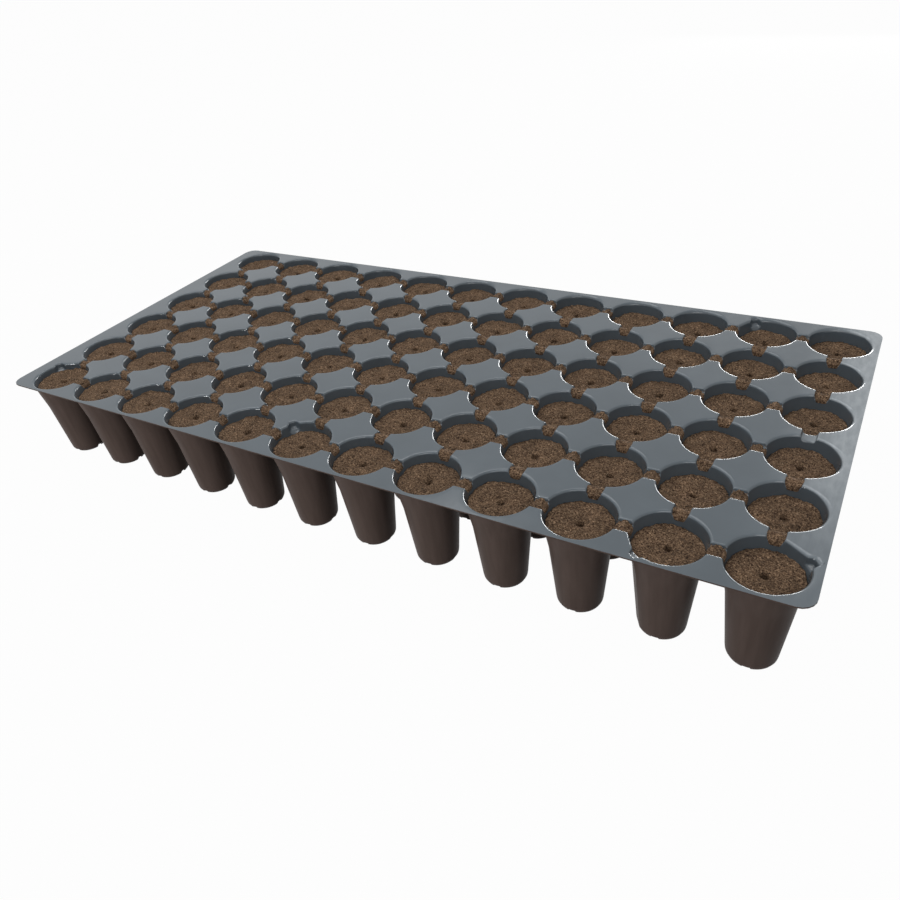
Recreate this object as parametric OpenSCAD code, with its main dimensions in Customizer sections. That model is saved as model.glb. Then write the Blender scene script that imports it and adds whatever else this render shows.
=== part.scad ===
// Plug tray: one formed plastic sheet with a grid of round, tapered cells.
// Every cell holds a plug of growing medium that lifts straight out.
// Millimetres, +Z up. The origin lies under the middle of the tray, level with the cell bases.
// Column 1 is at -X, row 1 is at -Y.

/* [Tray] */
// Height from the cell bases to the top of the deck
tray_h = 60.6; // [50:0.1:70]
// Thickness of the formed sheet
sheet = 0.8; // [0.5:0.1:1.2]
// Deck between the mouths of column 1 and the tray's left end
left_rim = 8.1; // [3:0.1:15]
// Deck between the mouths of the last column and the tray's right end
right_rim = 3.1; // [3:0.1:15]
// Deck between the mouths of the side cells and the long sides of the tray
side_rim = 1.6; // [1.2:0.1:10]
// Radius of the tray's corners
corner_r = 8; // [3:0.5:12]

/* [Grid] */
// Cells along the length
columns = 12; // [2:1:12]
// Cells along the width
rows = 6; // [2:2:6]
// Gap between neighbouring mouths along the length
bridge_x = 4.05; // [3:0.05:12]
// Gap between neighbouring mouths along the width
bridge_y = 3.45; // [3:0.05:12]

/* [Cells] */
// Outer radius of a cell at the deck
cup_top_r = 19.75; // [17:0.05:22]
// Depth of the collar, the wider upper part of a cell
collar_d = 20; // [14:0.5:30]
// Outer radius of a cell at the foot of its collar
collar_r = 16.1; // [14.5:0.1:17.5]
// Outer radius of a cell at its base, before rounding
cup_base_r = 12.2; // [10:0.1:14]
// Rounding between the wall and the base of a cell
base_round = 5; // [2:0.5:6]
// Rounding of the lip between the deck and a cell
lip_round = 1.5; // [1.3:0.1:3]
// Width of the drain channels that cross a cell's base
channel_w = 4; // [2:0.5:5]
// Depth of the drain channels
channel_d = 1.6; // [0.8:0.1:2.5]
// Radius of the drain hole
drain_r = 3.5; // [2:0.5:5]

/* [Saddles] */
// Width of the saddle between two neighbouring cells
saddle_w = 8; // [5:0.5:10]
// Depth of a saddle's floor below the deck
saddle_d = 2.9; // [2.6:0.1:4]
// Bevel between the floor and the sides of a saddle
saddle_bevel = 1.4; // [0.8:0.1:1.5]

/* [Stacking pockets] */
// Radius of the small pockets beside a few mouths
pocket_r = 3; // [2:0.1:3.8]
// Depth of a pocket's floor below the deck
pocket_d = 5; // [3:0.5:8]

/* [Growing medium] */
// Depth of the medium's top below the deck, at the middle of the tray
fill_drop = 6.3; // [5:0.1:12]
// How much deeper the medium lies with each column
drop_per_column = 0.25; // [0:0.05:0.3]
// How much deeper the medium lies with each row
drop_per_row = 0.15; // [0:0.05:0.4]
// Clearance between a plug and its cell
plug_gap = 0.4; // [0.3:0.05:0.8]
// Radius of the planting hole at the top of a plug
planting_r = 2.3; // [1.5:0.1:4]
// Radius of the planting hole's tip
planting_tip_r = 0.8; // [0.4:0.1:1.2]
// Depth of the planting hole
planting_d = 12; // [6:0.5:20]
// Clearance around the loose crumbs in a saddle
crumb_gap = 0.3; // [0.2:0.05:0.6]
// Depth of the crumbs' top below the deck
crumb_drop = 0.5; // [0.3:0.1:0.7]

/* [Hidden] */
$fn = 48;
base_steps = 3;
lip_steps = 2;
pocket_steps = 6;
rim_lap = 1.6;
over = 1;

// Column, row and direction in degrees of each stacking pocket
POCKETS = [[12, 1, 27], [11, 1, -122], [6, 1, 142], [11, 6, 122], [1, 1, 147]];
// Column and front row of each crosswise saddle that holds no crumbs
BARE_SADDLES = [[12, 3]];
PAIR_PLACES = ["front", "middle", "back"];

collar_z = tray_h - collar_d;
function outer_r(z) = z > collar_z
    ? collar_r + (cup_top_r - collar_r) * (z - collar_z) / collar_d
    : cup_base_r + (collar_r - cup_base_r) * z / collar_z;
function inner_r(z) = outer_r(z) - sheet;

lip_z = tray_h - lip_round;
mouth_r = inner_r(lip_z) + lip_round;
pitch_x = 2 * mouth_r + bridge_x;
pitch_y = 2 * mouth_r + bridge_y;
grid_x = (left_rim - right_rim) / 2;
function cell_x(column) = grid_x + (column - (columns + 1) / 2) * pitch_x;
function cell_y(row) = (row - (rows + 1) / 2) * pitch_y;
end_cell_x = cell_x(columns) - grid_x;
side_cell_y = cell_y(rows);
tray_l = 2 * (end_cell_x + mouth_r) + left_rim + right_rim;
tray_w = 2 * (side_cell_y + mouth_r + side_rim);
saddle_side = saddle_w / 2 + sheet;
outer_bevel = saddle_bevel + (2 - sqrt(2)) * sheet;
crumb_bevel = saddle_bevel - (2 - sqrt(2)) * crumb_gap;
base_flat_r = outer_r(base_round) - base_round;
rib_h = channel_d + sheet;
plug_z = rib_h + plug_gap;
neck_z = tray_h - saddle_d - 2 * sheet;
inside_r = inner_r(neck_z) - over;

function arc(centre, radius, from, to, steps) =
    [for (i = [0 : steps])
        let (angle = from + (to - from) * i / steps)
        centre + radius * [cos(angle), sin(angle)]];
function lip_arc(radius) = arc([mouth_r, lip_z], radius, 180, 90, lip_steps);
function base_arc(radius) = arc([base_flat_r, base_round], radius, -90, 0, base_steps);

// A cell's outer and inner surfaces in section, from the base to the deck
outer_line = concat(
    base_arc(base_round), [[collar_r, collar_z]], lip_arc(lip_round - sheet), [[mouth_r, tray_h]]
);
inner_line = concat(base_arc(base_round - sheet), [[collar_r - sheet, collar_z]], lip_arc(lip_round));

function plug_drop(column, row) = fill_drop
    + drop_per_column * (column - (columns + 1) / 2)
    + drop_per_row * (row - (rows + 1) / 2);
function holds_crumbs(column, row) =
    len([for (b = BARE_SADDLES) if (b == [column, row]) b]) == 0;

function two_digits(n) = str(n < 10 ? "0" : "", n);
function cups_name(column) = str("cups_col", two_digits(column));
function plugs_name(column, pair) =
    str("plugs_col", two_digits(column), "_", PAIR_PLACES[pair - 1]);
pairs = rows / 2;

module at_cell(column, row) {
    translate([cell_x(column), cell_y(row), 0])
        children();
}

// Everything inside a cell's outer surface
module cup_body() {
    rotate_extrude()
        polygon(concat([[0, 0]], outer_line, [[0, tray_h]]));
}

// Everything inside a cell's inner surface
module cup_cavity() {
    rotate_extrude()
        polygon(concat([[0, sheet]], inner_line, [[mouth_r, tray_h + over], [0, tray_h + over]]));
}

module cross(width, bottom, top) {
    for (angle = [0, 90])
        rotate(angle)
            translate([-cup_base_r, -width / 2, bottom])
                cube([2 * cup_base_r, width, top - bottom]);
}

// Everything inside a cell that isn't sheet: its base is drawn up over two crossing drain channels
module cup_space() {
    difference() {
        cup_cavity();
        cross(channel_w + 2 * sheet, -over, rib_h);
    }
    cross(channel_w, -over, channel_d);
    translate([0, 0, -over])
        cylinder(r = drain_r, h = rib_h + 2 * over);
}

// The upper end of cup_body, which meets the saddles
module cup_neck() {
    rotate_extrude()
        polygon(concat(
            [[0, neck_z], [outer_r(neck_z), neck_z]],
            lip_arc(lip_round - sheet),
            [[mouth_r, tray_h], [0, tray_h]]
        ));
}

// A level trough along +X, from inside one cell to inside its neighbour
module trough(pitch, half_width, bevel, floor_z, top_z) {
    translate([inside_r, 0, 0])
        rotate([90, 0, 90])
            linear_extrude(pitch - 2 * inside_r)
                polygon([
                    [-half_width, top_z],
                    [-half_width, floor_z + bevel],
                    [bevel - half_width, floor_z],
                    [half_width - bevel, floor_z],
                    [half_width, floor_z + bevel],
                    [half_width, top_z]
                ]);
}

module saddle_space(pitch) {
    trough(pitch, saddle_w / 2, saddle_bevel, tray_h - saddle_d, tray_h + over);
}

module saddle(pitch) {
    difference() {
        trough(pitch, saddle_side, outer_bevel, tray_h - saddle_d - sheet, tray_h);
        saddle_space(pitch);
        cup_neck();
        translate([pitch, 0, 0])
            cup_neck();
    }
}

module crumb_heap(pitch) {
    difference() {
        trough(
            pitch,
            saddle_w / 2 - crumb_gap,
            crumb_bevel,
            tray_h - saddle_d + crumb_gap,
            tray_h - crumb_drop
        );
        for (x = [0, pitch])
            translate([x, 0, neck_z])
                cylinder(r = inner_r(tray_h) + crumb_gap, h = tray_h);
    }
}

// A pocket that opens into the cell, with a round outer end
module pocket(radius, bottom, top) {
    translate([0, 0, bottom])
        linear_extrude(top - bottom)
            polygon(concat(
                [[inside_r, -radius]],
                arc([mouth_r, 0], radius, -90, 90, pocket_steps),
                [[inside_r, radius]]
            ));
}

module pocket_outside() {
    pocket(pocket_r + sheet, tray_h - pocket_d - sheet, tray_h);
}

module at_pockets(column, row) {
    for (p = POCKETS)
        if (p[0] == column && p[1] == row)
            rotate(p[2])
                children();
}

// Directions from a cell to its neighbours
function neighbours(column, row) = [
    if (column < columns) 0,
    if (row < rows) 90,
    if (column > 1) 180,
    if (row > 1) 270
];

module cup(column, row) {
    difference() {
        union() {
            cup_body();
            at_pockets(column, row)
                pocket_outside();
        }
        cup_space();
        at_pockets(column, row)
            pocket(pocket_r, tray_h - pocket_d, tray_h + over);
        for (angle = neighbours(column, row))
            rotate(angle)
                saddle_space(angle % 180 == 0 ? pitch_x : pitch_y);
    }
}

module cups(column) {
    color("#3b3734")
        for (row = [1 : rows])
            at_cell(column, row)
                cup(column, row);
}

module rounded_rectangle(length, width, radius) {
    square([length - 2 * radius, width], center = true);
    square([length, width - 2 * radius], center = true);
    for (x = [-1, 1], y = [-1, 1])
        translate([x * (length / 2 - radius), y * (width / 2 - radius)])
            circle(radius);
}

// A flat piece of the deck, cut out around the mouths and the pockets
module deck_sheet() {
    difference() {
        translate([0, 0, tray_h - sheet])
            linear_extrude(sheet)
                difference() {
                    children();
                    for (column = [1 : columns], row = [1 : rows])
                        translate([cell_x(column), cell_y(row)])
                            circle(mouth_r);
                }
        for (p = POCKETS)
            if (p[0] <= columns && p[1] <= rows)
                at_cell(p[0], p[1])
                    rotate(p[2])
                        pocket_outside();
    }
}

// A rectangle that reaches out by margin from the centres of the border cells
module grid_rectangle(margin) {
    translate([grid_x, 0])
        square(2 * [end_cell_x + margin, side_cell_y + margin], center = true);
}

// The flange along the tray's outline
module rim() {
    color("#6e7880")
        deck_sheet()
            difference() {
                rounded_rectangle(tray_l, tray_w, corner_r);
                grid_rectangle(mouth_r - rim_lap);
            }
}

// The pieces of deck between the rim and two border cells
module border_lands() {
    color("#727c85")
        deck_sheet()
            difference() {
                grid_rectangle(mouth_r - rim_lap);
                grid_rectangle(saddle_side);
            }
}

// The star-shaped pieces of deck between four cells
module lands() {
    color("#75808a")
        deck_sheet()
            for (column = [1 : columns - 1], row = [1 : rows - 1])
                translate([cell_x(column) + pitch_x / 2, cell_y(row) + pitch_y / 2])
                    square([pitch_x, pitch_y] - 2 * [saddle_side, saddle_side], center = true);
}

module saddles_lengthwise() {
    color("#66707a")
        for (column = [1 : columns - 1], row = [1 : rows])
            at_cell(column, row)
                saddle(pitch_x);
}

module saddles_crosswise() {
    color("#66707a")
        for (column = [1 : columns], row = [1 : rows - 1])
            at_cell(column, row)
                rotate(90)
                    saddle(pitch_y);
}

// Loose medium left in the saddles
module crumbs() {
    color("#5b4634") {
        for (column = [1 : columns - 1], row = [1 : rows])
            at_cell(column, row)
                crumb_heap(pitch_x);
        for (column = [1 : columns], row = [1 : rows - 1])
            if (holds_crumbs(column, row))
                at_cell(column, row)
                    rotate(90)
                        crumb_heap(pitch_y);
    }
}

module plug(column, row) {
    top_z = tray_h - plug_drop(column, row);
    difference() {
        rotate_extrude()
            polygon([
                [0, plug_z],
                [inner_r(base_round) - plug_gap - (base_round - plug_z), plug_z],
                [inner_r(base_round) - plug_gap, base_round],
                [collar_r - sheet - plug_gap, collar_z],
                [inner_r(top_z) - plug_gap, top_z],
                [0, top_z]
            ]);
        translate([0, 0, top_z - planting_d])
            cylinder(r1 = planting_tip_r, r2 = planting_r, h = planting_d);
    }
}

module plugs(column, pair) {
    color("#4f3b2c")
        for (row = [2 * pair - 1, 2 * pair])
            at_cell(column, row)
                plug(column, row);
}

rim();
border_lands();
lands();
saddles_lengthwise();
saddles_crosswise();
crumbs();
for (column = [1 : columns])
    cups(column);
for (column = [1 : columns], pair = [1 : pairs])
    plugs(column, pair);
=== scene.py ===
"""Plug tray: a formed plastic sheet with a grid of round cells, each filled with growing medium."""

import itertools
import math

import bpy
import numpy as np
from mathutils import Matrix, Vector


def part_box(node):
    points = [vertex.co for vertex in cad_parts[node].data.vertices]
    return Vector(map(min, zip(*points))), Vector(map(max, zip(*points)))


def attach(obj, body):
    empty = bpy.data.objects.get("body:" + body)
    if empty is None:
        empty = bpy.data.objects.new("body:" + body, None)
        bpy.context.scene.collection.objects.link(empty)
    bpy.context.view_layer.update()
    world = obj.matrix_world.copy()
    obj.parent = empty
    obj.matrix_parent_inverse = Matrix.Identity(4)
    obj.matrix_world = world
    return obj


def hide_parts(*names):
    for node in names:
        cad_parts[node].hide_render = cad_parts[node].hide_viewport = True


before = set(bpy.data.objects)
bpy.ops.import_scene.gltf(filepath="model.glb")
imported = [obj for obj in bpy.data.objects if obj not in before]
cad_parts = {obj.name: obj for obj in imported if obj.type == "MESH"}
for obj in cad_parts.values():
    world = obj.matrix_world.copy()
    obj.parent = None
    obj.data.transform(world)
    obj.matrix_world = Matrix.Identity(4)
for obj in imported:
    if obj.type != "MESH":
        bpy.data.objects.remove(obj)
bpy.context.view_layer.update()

# Sizes are in millimetres, and meshes are scaled to metres when they are made
MM = 0.001
COLUMNS, ROWS = 12, 6
PAIR_PLACES = ("front", "middle", "back")
QUARTER_TURN = np.array([[0, -1], [1, 0]])

# The formed sheet
RIM_LOW, RIM_HIGH = (np.array(corner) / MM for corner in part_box("rim"))
SHEET = RIM_HIGH[2] - RIM_LOW[2]
DECK_Z = RIM_HIGH[2]
CORNER_R = 8.0
CUP_TOP_R = 19.75
COLLAR_D = 20.0
COLLAR_R = 16.1
COLLAR_Z = DECK_Z - COLLAR_D
CUP_BASE_R = 12.2
BASE_ROUND = 5.0
LIP_ROUND = 1.5
# The lip's rounding at the tray's right end and back. It grows as the lip faces there more squarely.
SOFT_LIP_ROUND = 2.4
SOFT_LIP_START, SOFT_LIP_FULL = 0.55, 0.9
CHANNEL_W = 4.0
CHANNEL_D = 3.2
CHANNEL_EDGE = 0.3
DRAIN_R = 3.5
SADDLE_W = 8.0
SADDLE_D = 2.9
SADDLE_EDGE = 5.0
SADDLE_EDGE_ROUND = 0.9
SADDLE_FLOOR_ROUND = 2.1
SADDLE_DRAFT = 8.0
POCKET_R = 3.0
POCKET_SPREAD = 4.4
# Share of the spread over which a pocket reaches out fully
POCKET_FULL = 0.3
POCKET_EDGE = 0.6
# Column, row, direction in degrees and depth of each stacking pocket
POCKETS = ((12, 1, 27, 5), (11, 1, -122, 2.2), (6, 1, 142, 5), (11, 6, 122, 5), (1, 1, 147, 5))
# Column and front row of the crosswise saddle that holds no crumbs
BARE_SADDLE = (12, 3)
# Width of the stretch at the right end that carries scuffs and a painted sheen
SCUFF_AND_SHEEN_W = 42.0

# Steps of the sheet's mesh
FLOOR_STEPS, EDGE_STEPS, CORNER_STEPS = 5, 3, 12
DECK_STEPS, POCKET_STEPS = 3, 5
LIP_STEPS, COLLAR_STEPS, WALL_STEPS, BASE_STEPS, DRAIN_STEPS = 5, 3, 4, 5, 5
# Least angle between two steps around a mouth, in radians
LEAST_TURN = 0.008

# The growing medium
PLUG_GAP = 0.12
PLANTING_R = 2.3
PLANTING_TIP_R = 0.9
PLANTING_D = 12.0
# Strength and feature size of each layer of the crumbly top
TOP_LAYERS = ((0.75, 13), (0.55, 4.2), (0.45, 1.9), (0.3, 0.95))
# The top slumps from this share of its radius, and dips around the planting hole
SLUMP_START = 0.85
SLUMP_D, SLUMP_UNEVEN = 0.2, 0.5
DENT_D, DENT_R = 0.7, 2.4 * PLANTING_R
# How far the top's rings and its edge waver
RING_WAVER, EDGE_WAVER = 0.35, 0.12
EDGE_GAP = 0.1
# How far the side and base are eaten away, and how unevenly
SIDE_SUNK, SIDE_UNEVEN = 0.25, 0.2
BASE_SUNK = 0.2
BASE_SHARES = (1, 0.6, 0.25)
HOLE_SHARES = (0.12, 0.3, 0.55, 0.8, 1)
HOLE_UNEVEN = 0.18
HOLE_TIP_D = 0.3
HOLE_RINGS, TOP_RINGS, SIDE_STEPS = 4, 28, 12

# Fibres on the medium
FIBRES, FIBRE_STEPS = 30, 4
FIBRE_LENGTHS = (1.2, 3.6)
FIBRE_HALF_WIDTHS = (0.08, 0.16)
FIBRE_BEND = 0.5
FIBRE_ARCH = 0.3
FIBRE_CREST = 0.6
FIBRE_BLUNT = 0.25
FIBRE_START_GAP, FIBRE_EDGE_GAP = 3, 0.6

# Crumbs in the saddles
HEAP_HALF_W = 4.5
HEAP_NARROWED = 0.4
HEAP_SUNK = 0.15
HEAP_SAG = 1.3
HEAP_LAYERS = ((0.4, 3.2), (0.4, 1.5), (0.25, 0.8))
# Thickness of what hangs over a lip, and its share at the end that spills less
SPILL_THICK, SPILL_UNEVEN = 0.5, 0.3
LESS_SPILL = 0.4
HEAP_ACROSS, HEAP_ALONG, HEAP_LIP, HEAP_WALL = 16, 20, 4, 3
# Least and greatest drop below the deck and spill into a cell, for lengthwise and crosswise saddles
LENGTHWISE_DROPS, LENGTHWISE_SPILLS = (0.4, 1.2), (0.1, 0.4)
CROSSWISE_DROPS, CROSSWISE_SPILLS = (0.2, 0.9), (0.1, 0.7)

# The picture
CAMERA_RIGHT, CAMERA_BEFORE, CAMERA_ABOVE = 266.9, 389.7, 255.0
CAMERA_AZIMUTH, CAMERA_ELEVATION, CAMERA_ROLL = 33.2485, 35.1018, -6.7887
CAMERA_LENS, CAMERA_SENSOR = 31.268, 36
CAMERA_NEAREST = 0.01
# Half the floor's side, in metres, and the floor's grey in the light that it throws back
FLOOR_REACH = 8
FLOOR_GREY = 0.18
# How much of the floor is seen as plain white, which leaves a faint shadow
FLOOR_WHITE = 0.98
SURROUND_LIGHT = 0.2
# Place, target and size in metres, and power in watts, of each light
LIGHTS = {
    "overhead": ((-0.4, 0.15, 1.25), (0, 0, 0), (1.4, 1.0), 9.5),
    "far_strip": ((0.15, 1.6, 0.22), (0, 0, 0.06), (0.9, 0.32), 15),
    "left_front": ((-0.3, -1.1, 0.07), (0, -0.1, 0.03), (0.3, 0.1), 9),
    "front_fill": ((0.6, -0.95, 0.75), (0, 0, 0.06), (0.8, 0.6), 4),
}


def node_centre_x(node):
    low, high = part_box(node)
    return (low.x + high.x) / 2 / MM


FIRST_X = node_centre_x("plugs_col01_front")
PITCH_X = (node_centre_x("plugs_col12_front") - FIRST_X) / (COLUMNS - 1)
SADDLES_LOW, SADDLES_HIGH = (np.array(corner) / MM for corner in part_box("saddles_lengthwise"))
FIRST_Y = SADDLES_LOW[1] + SADDLE_W / 2 + SHEET
PITCH_Y = (SADDLES_HIGH[1] - SADDLES_LOW[1] - SADDLE_W - 2 * SHEET) / (ROWS - 1)


def inner_r(z):
    """A cell's inner radius at a height above its base: a wide collar over a slimmer cup."""
    collar = COLLAR_R + (CUP_TOP_R - COLLAR_R) * (z - COLLAR_Z) / COLLAR_D
    cup = CUP_BASE_R + (COLLAR_R - CUP_BASE_R) * z / COLLAR_Z
    return np.where(z > COLLAR_Z, collar, cup) - SHEET


MOUTH_R = inner_r(DECK_Z - LIP_ROUND) + LIP_ROUND
BASE_FLAT_R = inner_r(BASE_ROUND) + SHEET - BASE_ROUND


def smooth(x, low, high):
    """0 below low, 1 above high, and an even S between them."""
    t = np.clip((x - low) / (high - low), 0, 1)
    return t * t * (3 - 2 * t)


def hashed(cells, seed):
    """A repeatable number from -1 to 1 for each row of whole numbers."""
    h = cells[..., 0] * 73856093 ^ cells[..., 1] * 19349663 ^ cells[..., 2] * 83492791 ^ seed * 2654435761
    h = (h ^ h >> 13) * 1274126177 & 0xFFFFFFFF
    return ((h ^ h >> 16) & 0xFFFF) / 32767.5 - 1


def noise(points, size, seed=0):
    """Smooth noise from -1 to 1, with features of about that size."""
    scaled = points / size
    cells = np.floor(scaled).astype(np.int64)
    blend = scaled - cells
    blend = blend * blend * (3 - 2 * blend)
    total = np.zeros(len(points))
    for corner in itertools.product((0, 1), repeat=3):
        share = np.prod(np.where(corner, blend, 1 - blend), axis=1)
        total += share * hashed(cells + np.array(corner), seed)
    return total


def layered(points, layers, seed):
    """Layers of noise, each of its own strength and feature size, added up."""
    return sum(strength * noise(points, size, seed + i) for i, (strength, size) in enumerate(layers))


def arc(centre, radius, start, stop, steps):
    """Points along an arc, from one angle in degrees to another."""
    angle = np.radians(np.linspace(start, stop, steps + 1))
    return np.c_[centre[0] + radius * np.cos(angle), centre[1] + radius * np.sin(angle)]


def saddle_section(under):
    """A saddle's section: places across it, and heights from the deck's top, for one face of the sheet."""
    draft = math.radians(SADDLE_DRAFT)
    side_top_y = SADDLE_EDGE - SADDLE_EDGE_ROUND * math.cos(draft)
    side_top_z = -SADDLE_EDGE_ROUND * (1 - math.sin(draft))
    floor_z = SADDLE_FLOOR_ROUND - SADDLE_D
    side_foot_z = floor_z - SADDLE_FLOOR_ROUND * math.sin(draft)
    side_foot_y = side_top_y - (side_top_z - side_foot_z) * math.tan(draft)
    floor_y = side_foot_y - SADDLE_FLOOR_ROUND * math.cos(draft)
    edge = (SADDLE_EDGE, -SADDLE_EDGE_ROUND)
    half = np.vstack([
        [[floor_y / 2, -SADDLE_D - under]],
        arc((floor_y, floor_z), SADDLE_FLOOR_ROUND + under, -90, -SADDLE_DRAFT, FLOOR_STEPS),
        arc(edge, SADDLE_EDGE_ROUND - under, 180 - SADDLE_DRAFT, 90, EDGE_STEPS),
    ])
    middle = [[0, -SADDLE_D - under]]
    return np.vstack([half[::-1] * (-1, 1), middle, half])


def corner_line(reach, next_reach, rounded):
    """Points along a cell's outline from one side to the next, each side that far from the middle."""
    legs = CORNER_STEPS // 2
    if not rounded:
        first = np.c_[np.full(legs, reach), np.linspace(SADDLE_EDGE, next_reach, legs + 1)[1:]]
        second = np.c_[np.linspace(reach, SADDLE_EDGE, legs + 1)[1:-1], np.full(legs - 1, next_reach)]
        return np.vstack([first, second])
    path = np.vstack([
        [[reach, SADDLE_EDGE]],
        arc((reach - CORNER_R, next_reach - CORNER_R), CORNER_R, 0, 90, CORNER_STEPS),
        [[SADDLE_EDGE, next_reach]],
    ])
    along = np.r_[0, np.cumsum(np.linalg.norm(np.diff(path, axis=0), axis=1))]
    places = np.linspace(0, along[-1], CORNER_STEPS + 1)[1:-1]
    return np.c_[np.interp(places, along, path[:, 0]), np.interp(places, along, path[:, 1])]


def corner_angles(start, stop, pocket):
    """Directions from a cell's middle to its mouth between two saddles, close together around a pocket."""
    if pocket is None:
        return np.linspace(start, stop, CORNER_STEPS + 1)[1:-1]
    spread = POCKET_SPREAD / MOUTH_R
    least = LEAST_TURN * np.arange(1, CORNER_STEPS)
    angles = np.linspace(pocket - spread, pocket + spread, CORNER_STEPS - 1)
    return np.clip(angles, start + least, stop - least[::-1])


class Cell:
    """One cell of the sheet, as rings of points from its outline on the deck to its drain hole."""

    def __init__(self, column, row):
        self.column, self.row = column, row
        self.middle = np.array([FIRST_X + (column - 1) * PITCH_X, FIRST_Y + (row - 1) * PITCH_Y])
        self.joined = (column < COLUMNS, row < ROWS, column > 1, row > 1)
        ends = np.r_[RIM_HIGH[:2] - self.middle, self.middle - RIM_LOW[:2]]
        halves = (PITCH_X / 2, PITCH_Y / 2) * 2
        self.reach = [half if joined else end for joined, half, end in zip(self.joined, halves, ends)]
        here = [pocket for pocket in POCKETS if pocket[:2] == (column, row)]
        self.pockets = [math.radians(direction) for *_, direction, _ in here]
        self.pocket_z = DECK_Z - sum(depth for *_, depth in here)

    def sides(self):
        """The side that each step around the outline belongs to."""
        half_corner = CORNER_STEPS // 2
        straight = len(saddle_section(0)) - 1
        steps = []
        for side in range(4):
            steps += [side] * (straight + half_corner)
            steps += [(side + 1) % 4] * half_corner
        return steps

    def outline(self, under):
        """Points of the outline and the mouth, and the mouth's heights and lips."""
        section = saddle_section(under)
        across = section[:, 0]
        edge = math.asin(SADDLE_EDGE / MOUTH_R)
        rims, mouths, heights, lips = [], [], [], []
        for side in range(4):
            turn = np.linalg.matrix_power(QUARTER_TURN, side)
            height = section[:, 1] if self.joined[side] else np.full(len(section), -under)
            lip = self.lip(np.c_[np.sqrt(MOUTH_R ** 2 - across ** 2), across] @ turn.T / MOUTH_R)
            mouth = self.mouth_r(height, under, lip)
            rims.append(np.c_[np.full(len(section), self.reach[side]), across] @ turn.T)
            mouths.append(np.c_[np.sqrt(mouth ** 2 - across ** 2), across] @ turn.T)
            heights.append(height)
            lips.append(lip)
            following = (side + 1) % 4
            rounded = not (self.joined[side] or self.joined[following])
            rims.append(corner_line(self.reach[side], self.reach[following], rounded) @ turn.T)
            start = side * math.pi / 2 + edge
            stop = (side + 1) * math.pi / 2 - edge
            here = [p % (2 * math.pi) for p in self.pockets if start < p % (2 * math.pi) < stop]
            angles = corner_angles(start, stop, here[0] if here else None)
            heading = np.c_[np.cos(angles), np.sin(angles)]
            lip = self.lip(heading)
            mouths.append(heading * self.mouth_r(-under, under, lip)[:, None])
            heights.append(np.full(len(angles), -under))
            lips.append(lip)
        return [np.concatenate(parts) for parts in (rims, mouths, heights, lips)]

    def lip(self, heading):
        """The lip's rounding in some directions, softer where the tray ends to the right or behind."""
        soft = np.zeros(len(heading))
        for axis in (0, 1):
            if not self.joined[axis]:
                soft = np.maximum(soft, smooth(heading[:, axis], SOFT_LIP_START, SOFT_LIP_FULL))
        return LIP_ROUND + (SOFT_LIP_ROUND - LIP_ROUND) * soft

    @staticmethod
    def mouth_r(height, under, lip=LIP_ROUND):
        return inner_r(DECK_Z + height - (lip - under)) + lip

    def bulge(self, heading):
        """How far the mouth reaches out into a stacking pocket in some directions."""
        out = np.zeros(len(heading))
        for pocket in self.pockets:
            toward = heading @ (math.cos(pocket), math.sin(pocket))
            aside = heading @ (-math.sin(pocket), math.cos(pocket))
            far = MOUTH_R * np.abs(np.arctan2(aside, toward))
            fade = smooth(far, POCKET_FULL * POCKET_SPREAD, POCKET_SPREAD)
            out = np.maximum(out, POCKET_R * (1 - fade))
        return out

    def rings(self, under):
        """Points [step around, ring, xyz] of one face of the sheet, from the outline to the drain hole."""
        rim, mouth, height, lip = self.outline(under)
        radius = np.linalg.norm(mouth, axis=1)
        heading = mouth / radius[:, None]
        bulge = self.bulge(heading)
        radius = radius + bulge
        rings = []
        for share in np.linspace(0, 1, DECK_STEPS + 1)[:-1]:
            flat = rim + (heading * radius[:, None] - rim) * share
            rings.append(np.c_[flat, DECK_Z + height])
        lip = lip - under
        for angle in np.linspace(0, math.pi / 2, LIP_STEPS + 1):
            flat = heading * (radius - lip * math.sin(angle))[:, None]
            rings.append(np.c_[flat, DECK_Z + height - lip * (1 - math.cos(angle))])
        wall_top = DECK_Z + height - lip
        stretches = [(wall_top, COLLAR_Z, COLLAR_STEPS), (COLLAR_Z, BASE_ROUND, WALL_STEPS)]
        if self.pockets:
            foot = np.minimum(self.pocket_z - POCKET_EDGE, wall_top - POCKET_EDGE)
            stretches[:1] = [(wall_top, foot, POCKET_STEPS), (foot, COLLAR_Z, COLLAR_STEPS)]
        for start, stop, steps in stretches:
            for share in np.linspace(0, 1, steps + 1)[1:]:
                z = np.full(len(heading), start + (stop - start) * share)
                out = bulge * smooth(z, self.pocket_z - POCKET_EDGE, self.pocket_z + POCKET_EDGE)
                rings.append(np.c_[heading * (inner_r(z) + under + out)[:, None], z])
        base_round = BASE_ROUND - SHEET + under
        for angle in np.linspace(0, math.pi / 2, BASE_STEPS + 1)[1:]:
            flat = heading * (BASE_FLAT_R + base_round * math.cos(angle))
            rings.append(self.over_channels(flat, BASE_ROUND - base_round * math.sin(angle), under))
        for radius in np.linspace(BASE_FLAT_R, DRAIN_R, DRAIN_STEPS + 1)[1:]:
            rings.append(self.over_channels(heading * radius, SHEET - under, under))
        points = np.stack(rings, axis=1)
        points[..., :2] += self.middle
        return points

    @staticmethod
    def over_channels(flat, z, under):
        """A ring of the base, drawn up over the two crossing drain channels."""
        across = np.abs(flat).min(axis=1)
        half = CHANNEL_W / 2 + SHEET - under
        drawn = 1 - smooth(across, half - CHANNEL_EDGE, half + CHANNEL_EDGE)
        return np.c_[flat, np.maximum(z, SHEET - under + CHANNEL_D * drawn)]


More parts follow.
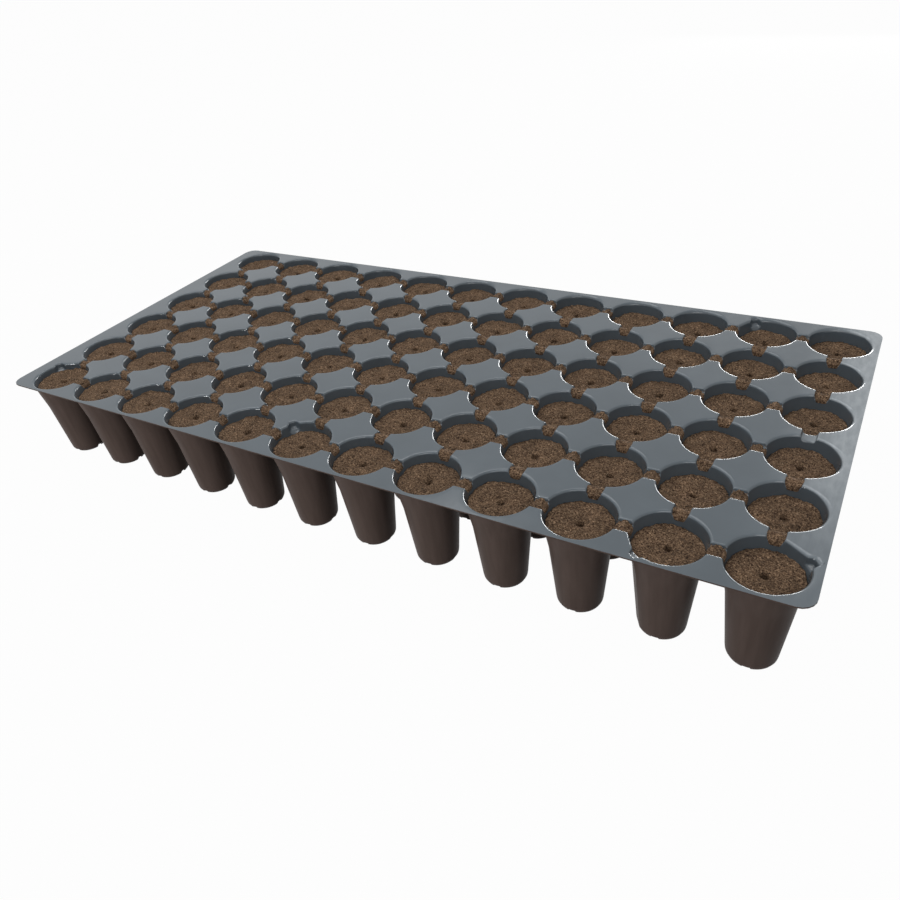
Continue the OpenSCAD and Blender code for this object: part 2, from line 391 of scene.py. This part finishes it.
class Mesh:
    """Collects points, faces, normals and face materials, and makes one object of them."""

    def __init__(self):
        self.points, self.normals, self.faces, self.slots, self.count = [], [], [], [], 0

    def add(self, points, faces, slot=0, normals=None):
        self.points.append(points)
        self.normals.append(np.zeros_like(points) if normals is None else normals)
        self.faces += [[int(i) + self.count for i in face] for face in faces]
        self.slots += [slot] * len(faces)
        self.count += len(points)

    def welded(self):
        """Points closer than a micrometre become one."""
        points = np.vstack(self.points)
        _, first, place = np.unique(np.round(points, 3), axis=0, return_index=True, return_inverse=True)
        place = place.reshape(-1)
        self.faces = [[int(place[i]) for i in face] for face in self.faces]
        self.points, self.normals = [points[first]], [np.vstack(self.normals)[first]]
        self.count = len(first)

    def made(self, name, materials, own_normals=False):
        mesh = bpy.data.meshes.new(name)
        mesh.from_pydata((np.vstack(self.points) * MM).tolist(), [], self.faces)
        for material in materials:
            mesh.materials.append(material)
        mesh.polygons.foreach_set("material_index", self.slots)
        mesh.polygons.foreach_set("use_smooth", [True] * len(mesh.polygons))
        if own_normals:
            mesh.normals_split_custom_set_from_vertices(np.vstack(self.normals).tolist())
        piece = bpy.data.objects.new(name, mesh)
        bpy.context.scene.collection.objects.link(piece)
        return piece


def grid_normals(points):
    """Normals of a grid of points that closes around its first direction."""
    around = np.roll(points, -1, axis=0) - np.roll(points, 1, axis=0)
    inward = np.gradient(points, axis=1)
    normals = np.cross(around, inward)
    return normals / np.linalg.norm(normals, axis=2, keepdims=True)


def grid_faces(around, rings, closed=True):
    """Four-cornered faces of a grid of points, which can close around its first direction."""
    i, j = np.meshgrid(np.arange(around if closed else around - 1), np.arange(rings - 1), indexing="ij")
    after = (i + 1) % around
    corners = (i * rings + j, after * rings + j, after * rings + j + 1, i * rings + j + 1)
    return np.stack(corners, axis=-1).reshape(-1, 4)


def add_sheet(mesh, top, under, rings):
    """Both faces of a stretch of sheet, from one ring to another."""
    for points, slot in ((top, 0), (under, 1)):
        normals = grid_normals(points)[:, rings]
        part = points[:, rings]
        faces = grid_faces(*part.shape[:2])
        if slot:
            faces = faces[:, ::-1]
            normals = -normals
        mesh.add(part.reshape(-1, 3), faces, slot, normals.reshape(-1, 3))


def add_edge(mesh, top, under, steps, facing):
    """The sheet's cut edge along one ring. Facing is 1 where it looks outwards."""
    for step in steps:
        after = (step + 1) % len(top)
        corners = np.array([under[step], under[after], top[after], top[step]])
        along = corners[1] - corners[0]
        normal = facing * np.array([along[1], -along[0], 0]) / np.linalg.norm(along[:2])
        order = [0, 1, 2, 3] if facing > 0 else [3, 2, 1, 0]
        mesh.add(corners, [order], 1, np.tile(normal, (4, 1)))


def build_sheet(materials):
    """The deck and, for each column, its cups."""
    deck = Mesh()
    cups = {column: Mesh() for column in range(1, COLUMNS + 1)}
    for column, row in itertools.product(range(1, COLUMNS + 1), range(1, ROWS + 1)):
        cell = Cell(column, row)
        top, under = cell.rings(0), cell.rings(SHEET)
        add_sheet(deck, top, under, slice(0, DECK_STEPS + 1))
        add_sheet(cups[column], top, under, slice(DECK_STEPS, None))
        add_edge(cups[column], top[:, -1], under[:, -1], range(len(top)), -1)
        free = [step for step, side in enumerate(cell.sides()) if not cell.joined[side]]
        add_edge(deck, top[:, 0], under[:, 0], free, 1)
    pieces = {"deck": deck.made("formed_deck", materials, own_normals=True)}
    for column, mesh in cups.items():
        node = f"cups_col{column:02d}"
        pieces[node] = mesh.made(f"formed_{node}", materials, own_normals=True)
    return pieces


def disc_faces(first_ring, last_ring):
    """Triangles between rings that hold six points for each step out from the middle."""
    faces, start = [], 0
    for ring in range(first_ring, last_ring):
        inside, outside = 6 * ring, 6 * (ring + 1)
        for sector in range(6):
            near = [start + (sector * ring + m) % inside for m in range(ring + 1)]
            far = [start + inside + (sector * (ring + 1) + m) % outside for m in range(ring + 2)]
            faces += [[near[m], far[m], far[m + 1]] for m in range(ring + 1)]
            faces += [[near[m], far[m + 1], near[m + 1]] for m in range(ring)]
        start += inside
    return faces


TOP_FACES = disc_faces(HOLE_RINGS, TOP_RINGS)


class Plug:
    """One plug of growing medium, measured on its solid."""

    def __init__(self, solid, seed):
        low, high = solid.min(axis=0), solid.max(axis=0)
        self.middle = (low[:2] + high[:2]) / 2
        self.top = high[2]
        self.bottom = SHEET + CHANNEL_D + PLUG_GAP
        far = np.linalg.norm(solid[:, :2] - self.middle, axis=1)
        self.top_r = inner_r(self.top) - PLUG_GAP
        self.base_r = far[solid[:, 2] < low[2] + 0.01].max()
        self.seed = seed
        self.random = np.random.default_rng(seed)

    def height(self, flat):
        """The top's height at places around the plug's middle."""
        radius = np.linalg.norm(flat, axis=1)
        places = np.c_[flat + self.middle, np.full(len(flat), self.top)]
        slump = SLUMP_D + SLUMP_UNEVEN * noise(places, 9, self.seed + 7)
        slump = smooth(radius, SLUMP_START * self.top_r, self.top_r) * slump
        dent = DENT_D * (1 - smooth(radius, PLANTING_R, DENT_R))
        return self.top + layered(places, TOP_LAYERS, self.seed) - slump - dent

    def ring(self, count, radius, waver):
        """Points around the plug's middle, which waver from a circle by up to that much."""
        angle = 2 * math.pi * np.arange(count) / count
        unit = np.c_[np.cos(angle), np.sin(angle)]
        uneven = noise(np.c_[unit * radius + self.middle, np.full(count, radius)], 1.8, self.seed + 11)
        return unit * (radius + waver * uneven)[:, None]

    def add_to(self, mesh):
        rings = []
        for ring in range(HOLE_RINGS, TOP_RINGS + 1):
            share = (ring - HOLE_RINGS) / (TOP_RINGS - HOLE_RINGS)
            waver = RING_WAVER if ring < TOP_RINGS else EDGE_WAVER
            radius = PLANTING_R + (self.top_r - EDGE_GAP - PLANTING_R) * share
            rings.append(self.ring(6 * ring, radius, waver))
        flat = np.vstack(rings)
        top = np.c_[flat, self.height(flat)]
        mesh.add(top + (*self.middle, 0), TOP_FACES)
        self.add_side(mesh, top[-6 * TOP_RINGS:])
        self.add_hole(mesh, top[:6 * HOLE_RINGS])
        self.add_fibres(mesh)

    def add_side(self, mesh, edge):
        """The crumbly side and base, from the top's edge down."""
        heading = edge[:, :2] / np.linalg.norm(edge[:, :2], axis=1)[:, None]
        rings = [edge]
        for share in np.linspace(0, 1, SIDE_STEPS + 1)[1:]:
            z = edge[:, 2] + (BASE_ROUND - edge[:, 2]) * share
            radius = inner_r(z) - PLUG_GAP
            places = np.c_[heading * radius[:, None] + self.middle, z]
            sunk = SIDE_SUNK + SIDE_UNEVEN * noise(places, 3.5, self.seed + 21)
            sunk = sunk + SIDE_UNEVEN * noise(places, 1.4, self.seed + 22)
            rings.append(np.c_[heading * (radius - np.maximum(sunk, 0))[:, None], z])
        for share in BASE_SHARES:
            radius = np.full(len(edge), self.base_r * share)
            places = np.c_[heading * radius[:, None] + self.middle, np.full(len(edge), self.bottom)]
            z = self.bottom + BASE_SUNK + BASE_SUNK * noise(places, 2.5, self.seed + 23)
            rings.append(np.c_[heading * radius[:, None], z])
        points = np.stack(rings, axis=1)
        count, steps = points.shape[:2]
        faces = grid_faces(count, steps)[:, ::-1].tolist()
        last = steps - 1
        faces += [[(i + 1) % count * steps + last, i * steps + last, count * steps] for i in range(count)]
        points = np.vstack([points.reshape(-1, 3), [[0, 0, self.bottom + BASE_SUNK]]])
        mesh.add(points + (*self.middle, 0), faces)

    def add_hole(self, mesh, edge):
        """The planting hole, from the top's inner edge down to its tip."""
        heading = edge[:, :2] / np.linalg.norm(edge[:, :2], axis=1)[:, None]
        start_r = np.linalg.norm(edge[:, :2], axis=1)
        rings = [edge]
        for share in HOLE_SHARES:
            z = edge[:, 2] + (self.top - PLANTING_D - edge[:, 2]) * share
            radius = start_r + (PLANTING_TIP_R - start_r) * share
            places = np.c_[heading * radius[:, None] + self.middle, z]
            radius = radius * (1 + HOLE_UNEVEN * noise(places, 1.6, self.seed + 31))
            rings.append(np.c_[heading * radius[:, None], z])
        points = np.stack(rings, axis=1)
        count, steps = points.shape[:2]
        mesh.add(points.reshape(-1, 3) + (*self.middle, 0), grid_faces(count, steps))
        tip = np.vstack([points[:, -1], [[0, 0, self.top - PLANTING_D - HOLE_TIP_D]]])
        mesh.add(tip + (*self.middle, 0), [[i, (i + 1) % count, count] for i in range(count)])

    def add_fibres(self, mesh):
        """Short bent fibres that lie on the top."""
        steps = FIBRE_STEPS
        for _ in range(FIBRES):
            reach = (self.top_r - FIBRE_START_GAP) * math.sqrt(self.random.uniform(0.06, 1))
            place = self.random.uniform(0, 2 * math.pi)
            start = reach * np.array([math.cos(place), math.sin(place)])
            heading = self.random.uniform(0, 2 * math.pi)
            bend = self.random.uniform(-FIBRE_BEND, FIBRE_BEND)
            length = self.random.uniform(*FIBRE_LENGTHS)
            width = self.random.uniform(*FIBRE_HALF_WIDTHS)
            turns = heading + bend * np.arange(steps + 1)
            path = start + np.cumsum(np.c_[np.cos(turns), np.sin(turns)] * length / steps, axis=0)
            farthest = self.top_r - FIBRE_EDGE_GAP
            path *= np.minimum(1, farthest / np.linalg.norm(path, axis=1))[:, None]
            lift = width + FIBRE_ARCH * np.sin(np.linspace(0, math.pi, steps + 1))
            z = self.height(path) + lift
            across = width * np.c_[-np.sin(turns), np.cos(turns)]
            taper = np.sqrt(np.sin(np.linspace(FIBRE_BLUNT, math.pi - FIBRE_BLUNT, steps + 1)))[:, None]
            left = np.c_[path + across * taper, z - width]
            right = np.c_[path - across * taper, z - width]
            crest = np.c_[path, z + FIBRE_CREST * width]
            points = np.stack([right, left, crest], axis=0)
            ends = [[2 * (steps + 1), steps + 1, 0], [steps, 2 * steps + 1, 3 * steps + 2]]
            faces = grid_faces(3, steps + 1).tolist() + ends
            mesh.add(points.reshape(-1, 3) + (*self.middle, 0), faces, 1)


def build_plugs(materials):
    """Each node's two plugs, as one piece for each node."""
    pieces = {}
    for column, (pair, place) in itertools.product(range(1, COLUMNS + 1), enumerate(PAIR_PLACES)):
        node = f"plugs_col{column:02d}_{place}"
        solid = np.array([v.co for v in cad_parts[node].data.vertices]) / MM
        middle_y = (solid[:, 1].min() + solid[:, 1].max()) / 2
        mesh = Mesh()
        for half, part in enumerate((solid[solid[:, 1] < middle_y], solid[solid[:, 1] > middle_y])):
            Plug(part, 1000 * column + 100 * pair + 50 * half).add_to(mesh)
        mesh.welded()
        pieces[node] = mesh.made(f"medium_{node}", materials)
    return pieces


def heap_end(across, half, end, length):
    """Rows from a trough's end over the lip and down a cell's wall: places, normals, share of the way."""
    rows = []
    for row in range(1, HEAP_LIP + HEAP_WALL + 1):
        angle = math.pi / 2 * min(1, row / HEAP_LIP)
        hang = length * max(0, row - HEAP_LIP) / HEAP_WALL
        share = row / (HEAP_LIP + HEAP_WALL)
        aside = across * (1 - HEAP_NARROWED * share)
        floor = np.interp(aside, *saddle_section(0).T)
        mouth = Cell.mouth_r(floor, 0)
        heading = np.c_[-end * np.sqrt(mouth ** 2 - aside ** 2), aside] / mouth[:, None]
        height = floor - LIP_ROUND * (1 - math.cos(angle)) - hang
        radius = inner_r(DECK_Z + height) if hang else mouth - LIP_ROUND * math.sin(angle)
        flat = (end * half, 0) + heading * radius[:, None]
        normals = np.c_[-heading * math.sin(angle), np.full(len(across), math.cos(angle))]
        rows.append((np.c_[flat, height], normals, share))
    return rows


def add_heap(mesh, middle, axis, half, drop, spill, seed):
    """Crumbs in one saddle. Axis points to the cell that more spill into, half the cells' distance away."""
    across = np.linspace(-HEAP_HALF_W, HEAP_HALF_W, HEAP_ACROSS + 1)
    floor = np.interp(across, *saddle_section(0).T)
    reach = half - np.sqrt(Cell.mouth_r(floor, 0) ** 2 - across ** 2)
    taper = 1 - (across / HEAP_HALF_W) ** 2
    axis = np.array(axis)
    lateral = np.array([-axis[1], axis[0]])

    def placed(points):
        flat = points[:, :1] * axis + points[:, 1:2] * lateral + middle
        return np.c_[flat, DECK_Z + points[:, 2]]

    def lumps(points):
        return layered(placed(points), HEAP_LAYERS, seed)

    def laid(points, normals, thick):
        return placed(points) + np.maximum(thick, -HEAP_SUNK)[:, None] * np.c_[
            normals[:, :1] * axis + normals[:, 1:2] * lateral, normals[:, 2]]

    trough = []
    upright = np.tile((0, 0, 1), (len(across), 1))
    for share in np.linspace(-1, 1, HEAP_ALONG + 1):
        points = np.c_[share * reach, across, floor]
        sag = HEAP_SAG * smooth(abs(share), 0.3, 1)
        trough.append((points, -drop - sag + lumps(points) - floor))
    ends = {-1: [], 1: []}
    for end, (_, edge) in ((-1, trough[0]), (1, trough[-1])):
        length = spill if end > 0 else LESS_SPILL * spill
        for points, normals, share in heap_end(across, half, end, length):
            hanging = SPILL_THICK + SPILL_UNEVEN * lumps(points)
            hanging = hanging * taper * (1 - smooth(share, 0.7, 1)) - HEAP_SUNK
            thick = np.maximum(edge, 0) * (1 - smooth(share, 0, 0.6)) + hanging
            ends[end].append(laid(points, normals, thick))
    rows = ends[-1][::-1] + [laid(points, upright, thick) for points, thick in trough] + ends[1]
    points = np.stack(rows)
    mesh.add(points.reshape(-1, 3), grid_faces(*points.shape[:2], closed=False))


def build_crumbs(materials):
    """Crumbs in every saddle but the bare one."""
    mesh = Mesh()
    random = np.random.default_rng(5)
    for column, row in itertools.product(range(1, COLUMNS + 1), range(1, ROWS + 1)):
        middle = np.array([FIRST_X + (column - 1) * PITCH_X, FIRST_Y + (row - 1) * PITCH_Y])
        seed = 100 * column + 10 * row
        if column < COLUMNS:
            drop, spill = random.uniform(*LENGTHWISE_DROPS), random.uniform(*LENGTHWISE_SPILLS)
            add_heap(mesh, middle + (PITCH_X / 2, 0), (1, 0), PITCH_X / 2, drop, spill, seed)
        if row < ROWS and (column, row) != BARE_SADDLE:
            drop, spill = random.uniform(*CROSSWISE_DROPS), random.uniform(*CROSSWISE_SPILLS)
            add_heap(mesh, middle + (0, PITCH_Y / 2), (0, -1), PITCH_Y / 2, drop, spill, seed + 5)
    return mesh.made("medium_crumbs", materials)


class Shader:
    """A material, with short calls that add nodes to it."""

    def __init__(self, name):
        self.material = bpy.data.materials.new(name)
        self.material.use_nodes = True
        self.nodes = self.material.node_tree.nodes
        self.surface = self.nodes["Principled BSDF"]
        self.coordinates = self.nodes.new("ShaderNodeTexCoord")

    def give(self, node, inputs):
        for socket, value in inputs.items():
            if isinstance(value, bpy.types.NodeSocket):
                self.material.node_tree.links.new(value, node.inputs[socket])
            else:
                node.inputs[socket].default_value = value
        return node

    def add(self, kind, inputs, **settings):
        node = self.nodes.new("ShaderNode" + kind)
        for setting, value in settings.items():
            setattr(node, setting, value)
        return self.give(node, inputs)

    def noise(self, size, detail=2, stretch=None, turn=0, twist=0):
        """Noise from about 0 to 1, with features of that size in millimetres."""
        place = self.coordinates.outputs["Object"]
        if stretch:
            turned = (0, 0, math.radians(turn))
            place = self.add("Mapping", {"Vector": place, "Rotation": turned, "Scale": stretch}).outputs[0]
        inputs = {"Vector": place, "Scale": 1000 / size, "Detail": detail, "Distortion": twist}
        return self.add("TexNoise", inputs).outputs["Fac"]

    def ranged(self, value, low, high, to_low=0, to_high=1, soft=True):
        inputs = {"Value": value, "From Min": low, "From Max": high, "To Min": to_low, "To Max": to_high}
        kind = "SMOOTHSTEP" if soft else "LINEAR"
        return self.add("MapRange", inputs, interpolation_type=kind).outputs[0]

    def mixed(self, share, first, second, blend="MIX"):
        node = self.add("Mix", {0: share}, data_type="RGBA", blend_type=blend)
        self.give(node, {6: first, 7: second})
        return node.outputs[2]

    def ramp(self, value, *stops):
        node = self.add("ValToRGB", {"Fac": value})
        for index, (place, colour) in enumerate(stops):
            stop = node.color_ramp.elements[index] if index < 2 else node.color_ramp.elements.new(place)
            stop.position = place
            stop.color = (*colour, 1)
        return node.outputs[0]

    def math(self, operation, first, second):
        return self.add("Math", {0: first, 1: second}, operation=operation).outputs[0]

    def bump(self, height, distance, strength=1.0):
        inputs = {"Height": height, "Distance": distance * MM, "Strength": strength}
        return self.add("Bump", inputs).outputs[0]


def grey(value):
    return (value, value, value, 1)


def sheet_top():
    """The sheet's upper face: slate grey, with painted shade that makes the walls a little darker, and
    towards the right end scuffs mixed with a painted sheen.
    """
    shader = Shader("sheet_top")
    normal = shader.add("SeparateXYZ", {0: shader.coordinates.outputs["Normal"]})
    place = shader.add("SeparateXYZ", {0: shader.coordinates.outputs["Object"]})
    # Painted shade: the walls, and the hollows below the saddles' floors, take a slightly darker copy of
    # the deck's grey, standing in for the shade inside the cells; the up-facing deck keeps the lighter
    # grey.
    high = shader.ranged(place.outputs["Z"], (DECK_Z - SADDLE_D - 1) * MM, (DECK_Z - SADDLE_D) * MM)
    flat = shader.math("MULTIPLY", high, shader.ranged(normal.outputs["Z"], 0.15, 0.65))
    colour = shader.mixed(flat, (0.088, 0.108, 0.126, 1), (0.094, 0.118, 0.138, 1))
    mottle = shader.ranged(shader.noise(26, 4), 0.3, 0.7, 0.94, 1.06, soft=False)
    colour = shader.mixed(1.0, colour, mottle, "MULTIPLY")
    # Painted sheen and scuffs: towards the right end, and more towards the back, the flat deck is mixed in
    # streaky patches with a pale grey, a painted sheen laid together with real scuff marks.
    wear_and_sheen = shader.ranged(place.outputs["X"], (RIM_HIGH[0] - SCUFF_AND_SHEEN_W) * MM, RIM_HIGH[0] * MM)
    wear_and_sheen = shader.math("MULTIPLY", wear_and_sheen, shader.ranged(place.outputs["Y"], RIM_LOW[1] * MM, 0, 0.15, 1))
    scuff_and_sheen = shader.ranged(shader.noise(3.5, 8, stretch=(1, 0.35, 1)), 0.25, 0.8, 0.5, 0.85)
    share = shader.math("MULTIPLY", shader.math("MULTIPLY", wear_and_sheen, scuff_and_sheen), flat)
    colour = shader.mixed(share, colour, (0.44, 0.48, 0.51, 1))
    rough = shader.ranged(shader.noise(7, 3), 0.3, 0.7, 0.13, 0.18, soft=False)
    bump = shader.bump(shader.noise(3.2, 3), 0.025)
    shader.give(shader.surface, {"Base Color": colour, "Roughness": rough, "Normal": bump})
    return shader.material


def sheet_under():
    """The sheet's lower face and cut edge: brown-black, with faint streaks down the cups."""
    shader = Shader("sheet_under")
    streak = shader.noise(4, 3, stretch=(1, 1, 0.06))
    colour = shader.ramp(streak, (0.3, (0.050, 0.036, 0.031)), (0.7, (0.063, 0.046, 0.040)))
    shader.give(shader.surface, {"Base Color": colour, "Roughness": 0.4, "Specular IOR Level": 0.02})
    return shader.material


def growing_medium():
    """Brown fibrous medium with darker pits and tan flecks."""
    shader = Shader("growing_medium")
    grain = shader.noise(0.8, 4, twist=0.8)
    colour = shader.ramp(
        grain,
        (0.32, (0.016, 0.009, 0.006)),
        (0.70, (0.420, 0.280, 0.175)),
        (0.43, (0.074, 0.044, 0.027)),
        (0.52, (0.145, 0.090, 0.054)),
        (0.60, (0.230, 0.148, 0.090)),
    )
    patch = shader.ranged(shader.noise(7, 4), 0.3, 0.7, 0.72, 1.2, soft=False)
    colour = shader.mixed(1.0, colour, patch, "MULTIPLY")
    fleck = shader.ranged(shader.noise(1.3, 2, stretch=(0.5, 1, 1), turn=35, twist=2.5), 0.63, 0.70)
    colour = shader.mixed(fleck, colour, (0.36, 0.25, 0.16, 1))
    bump = shader.bump(grain, 0.5, 0.8)
    shader.give(shader.surface, {"Base Color": colour, "Roughness": 0.9, "Normal": bump})
    shader.give(shader.surface, {"Specular IOR Level": 0.2})
    return shader.material


def fibre():
    """Tan fibres that lie on the medium."""
    shader = Shader("medium_fibre")
    tint = shader.noise(5, 1)
    colour = shader.ramp(tint, (0.3, (0.10, 0.062, 0.036)), (0.7, (0.30, 0.20, 0.125)))
    shader.give(shader.surface, {"Base Color": colour, "Roughness": 0.75})
    return shader.material


def build_camera():
    """A camera that sees the tray as the picture does."""
    azimuth, elevation, roll = map(math.radians, (CAMERA_AZIMUTH, CAMERA_ELEVATION, CAMERA_ROLL))
    back = Vector((
        math.sin(azimuth) * math.cos(elevation),
        -math.cos(azimuth) * math.cos(elevation),
        math.sin(elevation),
    ))
    right = back.cross(Vector((0, 0, -1))).normalized()
    up = back.cross(right)
    level = Matrix((right, up, back)).transposed()
    camera = bpy.data.objects.new("camera", bpy.data.cameras.new("camera"))
    middle_x = FIRST_X + PITCH_X * (COLUMNS - 1) / 2
    at = Vector((middle_x + CAMERA_RIGHT, -CAMERA_BEFORE, DECK_Z + CAMERA_ABOVE)) * MM
    camera.matrix_world = Matrix.Translation(at) @ (level @ Matrix.Rotation(roll, 3, "Z")).to_4x4()
    camera.data.lens = CAMERA_LENS
    camera.data.sensor_width = CAMERA_SENSOR
    camera.data.clip_start = CAMERA_NEAREST
    bpy.context.scene.collection.objects.link(camera)
    bpy.context.scene.camera = camera


def add_light(name, at, target, size, power):
    """A rectangular area light."""
    light = bpy.data.lights.new(name, "AREA")
    light.shape = "RECTANGLE"
    light.size, light.size_y = size
    light.energy = power
    lamp = bpy.data.objects.new(name, light)
    facing = (Vector(at) - Vector(target)).to_track_quat("Z", "Y").to_matrix().to_4x4()
    lamp.matrix_world = Matrix.Translation(Vector(at)) @ facing
    bpy.context.scene.collection.objects.link(lamp)


def seen_share(nodes, links, share):
    """A share for rays from the camera, straight or by a mirror or through glass, and 0 for all others."""
    path = nodes.new("ShaderNodeLightPath")
    total = path.outputs["Is Camera Ray"]
    for output in ("Is Glossy Ray", "Is Transmission Ray"):
        greater = nodes.new("ShaderNodeMath")
        greater.operation = "MAXIMUM"
        links.new(total, greater.inputs[0])
        links.new(path.outputs[output], greater.inputs[1])
        total = greater.outputs[0]
    scaled = nodes.new("ShaderNodeMath")
    scaled.operation = "MULTIPLY"
    scaled.inputs[1].default_value = share
    links.new(total, scaled.inputs[0])
    return scaled.outputs[0]


def build_surround():
    """A surround that is seen as white and gives little light."""
    world = bpy.data.worlds.new("surround")
    bpy.context.scene.world = world
    world.use_nodes = True
    nodes, links = world.node_tree.nodes, world.node_tree.links
    plain = nodes["Background"]
    plain.inputs["Strength"].default_value = SURROUND_LIGHT
    plain.inputs["Color"].default_value = grey(1)
    white = nodes.new("ShaderNodeBackground")
    white.inputs["Color"].default_value = grey(1)
    mix = nodes.new("ShaderNodeMixShader")
    links.new(seen_share(nodes, links, 1), mix.inputs[0])
    links.new(plain.outputs[0], mix.inputs[1])
    links.new(white.outputs[0], mix.inputs[2])
    links.new(mix.outputs[0], nodes["World Output"].inputs["Surface"])


def build_floor():
    """A white floor that keeps a faint shadow."""
    mesh = bpy.data.meshes.new("floor")
    far = FLOOR_REACH
    mesh.from_pydata([(-far, -far, 0), (far, -far, 0), (far, far, 0), (-far, far, 0)], [], [(0, 1, 2, 3)])
    floor = bpy.data.objects.new("floor", mesh)
    bpy.context.scene.collection.objects.link(floor)
    material = bpy.data.materials.new("floor")
    material.use_nodes = True
    nodes, links = material.node_tree.nodes, material.node_tree.links
    nodes.remove(nodes["Principled BSDF"])
    diffuse = nodes.new("ShaderNodeBsdfDiffuse")
    diffuse.inputs["Color"].default_value = grey(FLOOR_GREY)
    glow = nodes.new("ShaderNodeEmission")
    glow.inputs["Color"].default_value = grey(1)
    mix = nodes.new("ShaderNodeMixShader")
    links.new(seen_share(nodes, links, FLOOR_WHITE), mix.inputs[0])
    links.new(diffuse.outputs[0], mix.inputs[1])
    links.new(glow.outputs[0], mix.inputs[2])
    links.new(mix.outputs[0], nodes["Material Output"].inputs["Surface"])
    mesh.materials.append(material)


def main():
    sheet = (sheet_top(), sheet_under())
    medium = (growing_medium(), fibre())
    formed = build_sheet(sheet)
    deck = formed.pop("deck")
    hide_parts("rim", "border_lands", "lands", "saddles_lengthwise", "saddles_crosswise")
    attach(deck, "tray")
    for node, piece in formed.items():
        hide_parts(node)
        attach(piece, "tray")
    crumbs = build_crumbs(medium)
    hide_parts("crumbs")
    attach(crumbs, "tray")
    for node, piece in build_plugs(medium).items():
        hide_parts(node)
        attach(piece, node)
    build_camera()
    build_surround()
    build_floor()
    for name, (at, target, size, power) in LIGHTS.items():
        add_light(name, at, target, size, power)
    bpy.context.scene.view_settings.view_transform = "Standard"


main()
